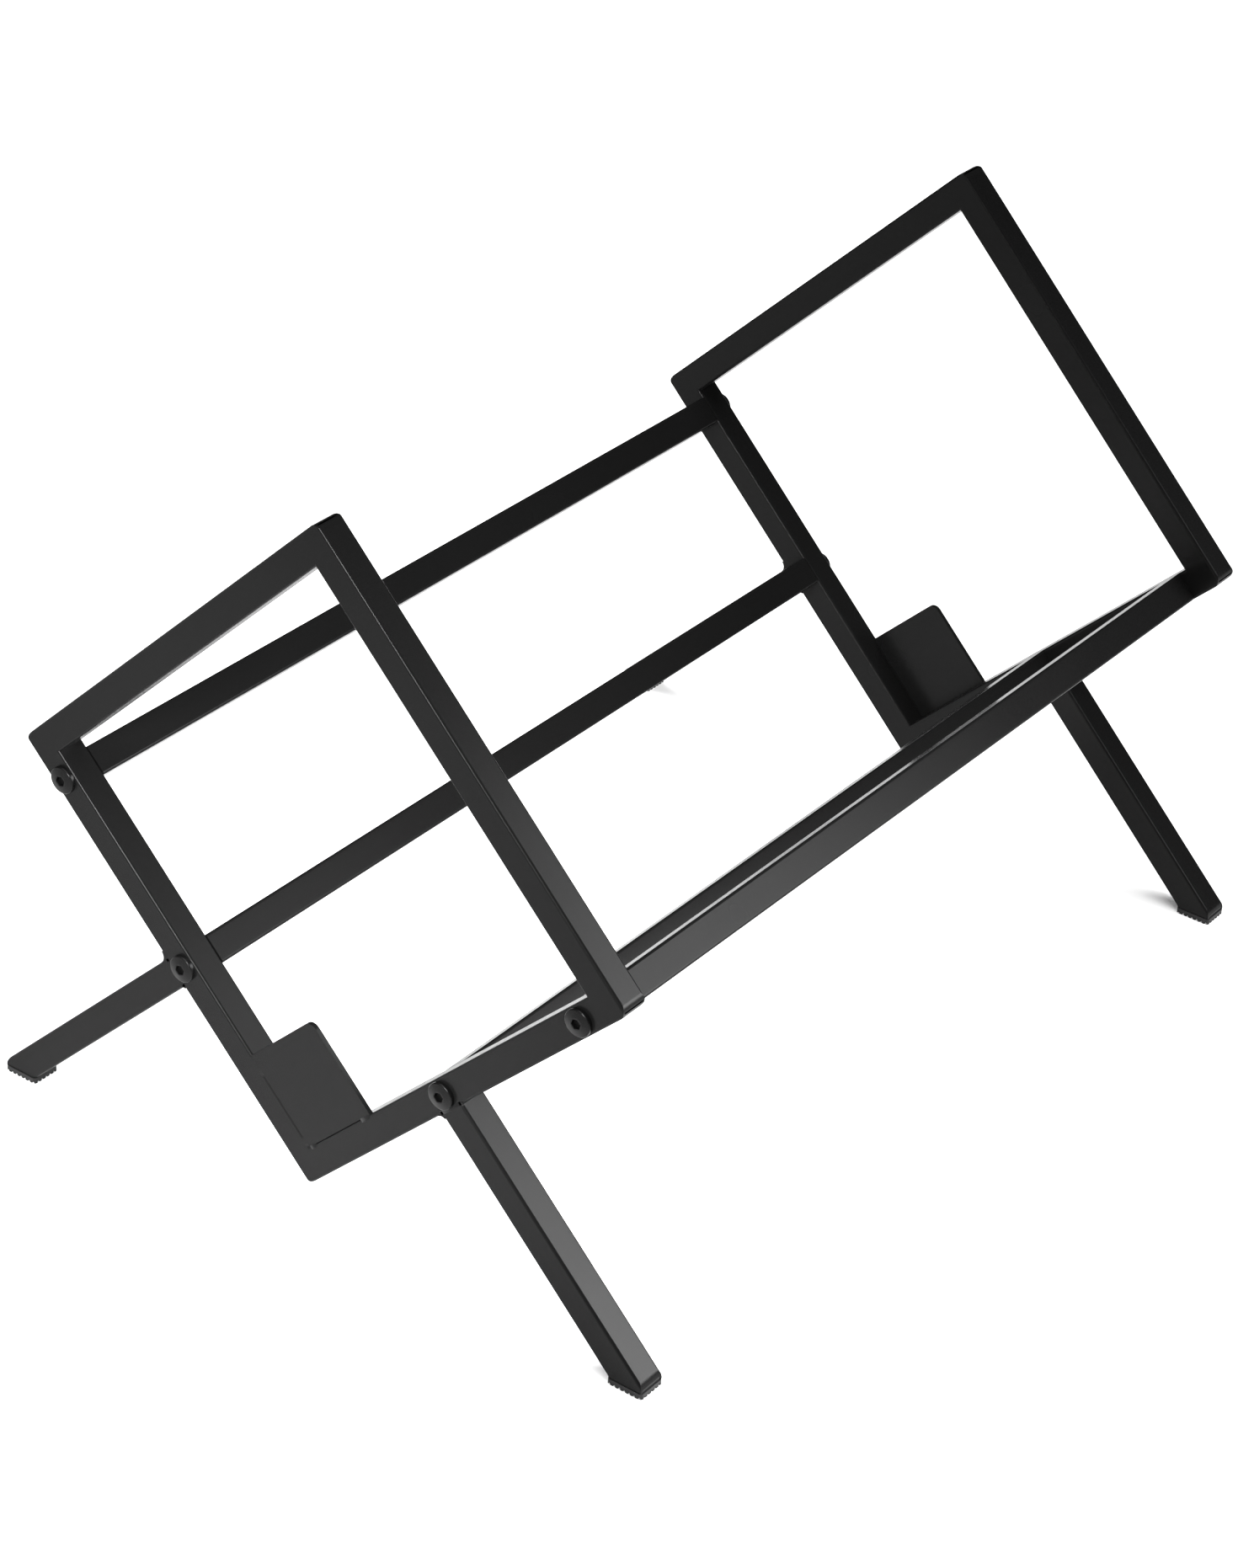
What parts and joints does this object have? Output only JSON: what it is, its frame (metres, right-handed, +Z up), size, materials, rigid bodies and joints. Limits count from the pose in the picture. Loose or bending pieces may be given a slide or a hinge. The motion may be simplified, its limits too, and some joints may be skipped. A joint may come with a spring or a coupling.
{
  "type": "firewood log rack",
  "caption": "Low firewood rack: two square end frames of black square tube stand on a corner, joined by bolted crossbars that cradle the logs in a V.",
  "frame": {"origin": "on the floor, midway between the end frames and straight below the corner of the V, which is the bottom centre of the bounding box", "axes": "+X along the crossbars, towards the end frame on the right as seen from the front; front towards -Y; +Z up"},
  "size_m": [0.6824, 0.5044, 0.4819],
  "materials": {
    "frame_coat": "satin black powder coat with a fine texture",
    "crossbar_coat": "satin black powder coat with a fine texture",
    "screw_black": "black zinc or black oxide, semi-gloss",
    "insert_steel": "zinc-plated steel",
    "foot_rubber": "matt moulded rubber"
  },
  "bodies": {
    "root": {"left_rear_tube": "frame_coat", "left_top_tube": "frame_coat", "left_front_tube": "frame_coat", "left_bottom_tube": "frame_coat", "left_rear_leg": "frame_coat", "left_rear_foot_pad": "foot_rubber", "left_front_leg": "frame_coat", "left_front_foot_pad": "foot_rubber", "left_corner_plate": "frame_coat", "right_rear_tube": "frame_coat", "right_top_tube": "frame_coat", "right_front_tube": "frame_coat", "right_bottom_tube": "frame_coat", "right_rear_leg": "frame_coat", "right_rear_foot_pad": "foot_rubber", "right_front_leg": "frame_coat", "right_front_foot_pad": "foot_rubber", "right_corner_plate": "frame_coat", "rear_upper_crossbar": "crossbar_coat", "rear_lower_crossbar": "crossbar_coat", "bottom_rear_crossbar": "crossbar_coat", "bottom_front_crossbar": "crossbar_coat", "left_screws": "screw_black", "left_threaded_inserts": "insert_steel", "right_screws": "screw_black", "right_threaded_inserts": "insert_steel"}
  },
  "joints": []
}
